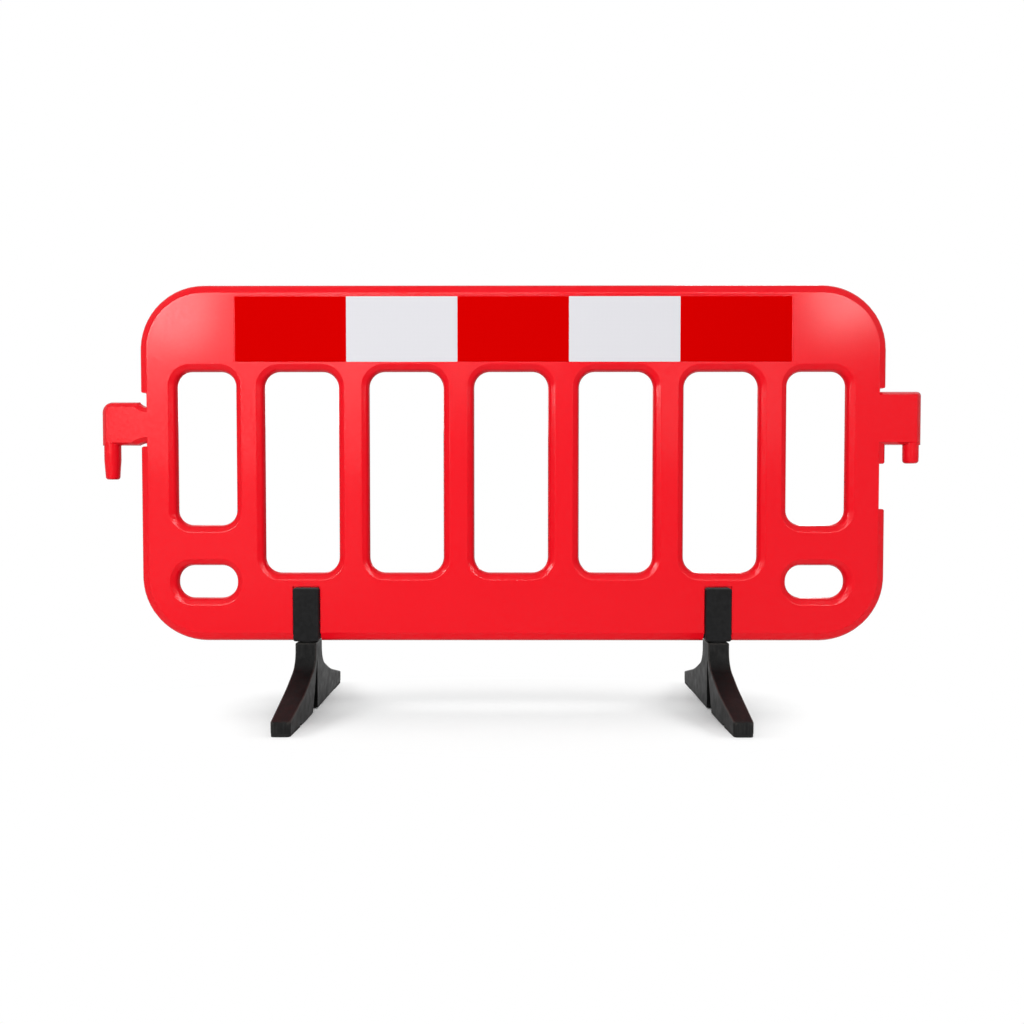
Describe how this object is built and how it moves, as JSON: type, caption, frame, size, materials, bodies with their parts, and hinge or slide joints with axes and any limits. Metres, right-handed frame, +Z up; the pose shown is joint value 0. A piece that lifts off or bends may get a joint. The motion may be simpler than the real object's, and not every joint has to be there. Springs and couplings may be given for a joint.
{
  "type": "plastic safety barrier",
  "caption": "Free-standing red plastic barrier panel with windows, hand slots, a reflector strip, hooked coupling arms and black feet that swivel flat for stacking.",
  "frame": {"origin": "on the floor under the middle of the panel", "axes": "+X along the barrier towards the arm with the short pin, -Y the way the reflectors face, +Z up"},
  "size_m": [1.998, 0.524, 1.031],
  "materials": {
    "panel_plastic": "satin moulded polyethylene with a fine orange-peel texture",
    "reflector_red": "smooth retroreflective sheeting",
    "reflector_white": "smooth retroreflective sheeting",
    "clip_plastic": "matt black moulded plastic",
    "foot_plastic": "matt black recycled moulding with fine flow streaks",
    "pad_rubber": "matt black rubber",
    "zinc_steel": "bright zinc plating",
    "nylon": "smooth black nylon"
  },
  "bodies": {
    "barrier": {"panel": "panel_plastic", "reflector_red_left": "reflector_red", "reflector_white_left": "reflector_white", "reflector_red_centre": "reflector_red", "reflector_white_right": "reflector_white", "reflector_red_right": "reflector_red", "left_foot_clip": "clip_plastic", "left_clip_bolts": "zinc_steel", "left_clip_nuts": "zinc_steel", "left_swivel_bolt": "zinc_steel", "left_thrust_washer": "nylon", "left_flat_washer": "zinc_steel", "left_lock_nut": "zinc_steel", "right_foot_clip": "clip_plastic", "right_clip_bolts": "zinc_steel", "right_clip_nuts": "zinc_steel", "right_swivel_bolt": "zinc_steel", "right_thrust_washer": "nylon", "right_flat_washer": "zinc_steel", "right_lock_nut": "zinc_steel"},
    "left_foot": {"left_foot": "foot_plastic", "left_swivel_bush": "nylon", "left_front_pad": "pad_rubber", "left_rear_pad": "pad_rubber"},
    "right_foot": {"right_foot": "foot_plastic", "right_swivel_bush": "nylon", "right_front_pad": "pad_rubber", "right_rear_pad": "pad_rubber"}
  },
  "joints": [
    {"name": "left_foot_swivel", "type": "hinge", "parent": "barrier", "child": "left_foot", "pos_m": [-0.498, 0, 0], "axis": [0, 0, 1], "range_deg": [-90, 90]},
    {"name": "right_foot_swivel", "type": "hinge", "parent": "barrier", "child": "right_foot", "pos_m": [0.503, 0, 0], "axis": [0, 0, 1], "range_deg": [-90, 90]}
  ]
}
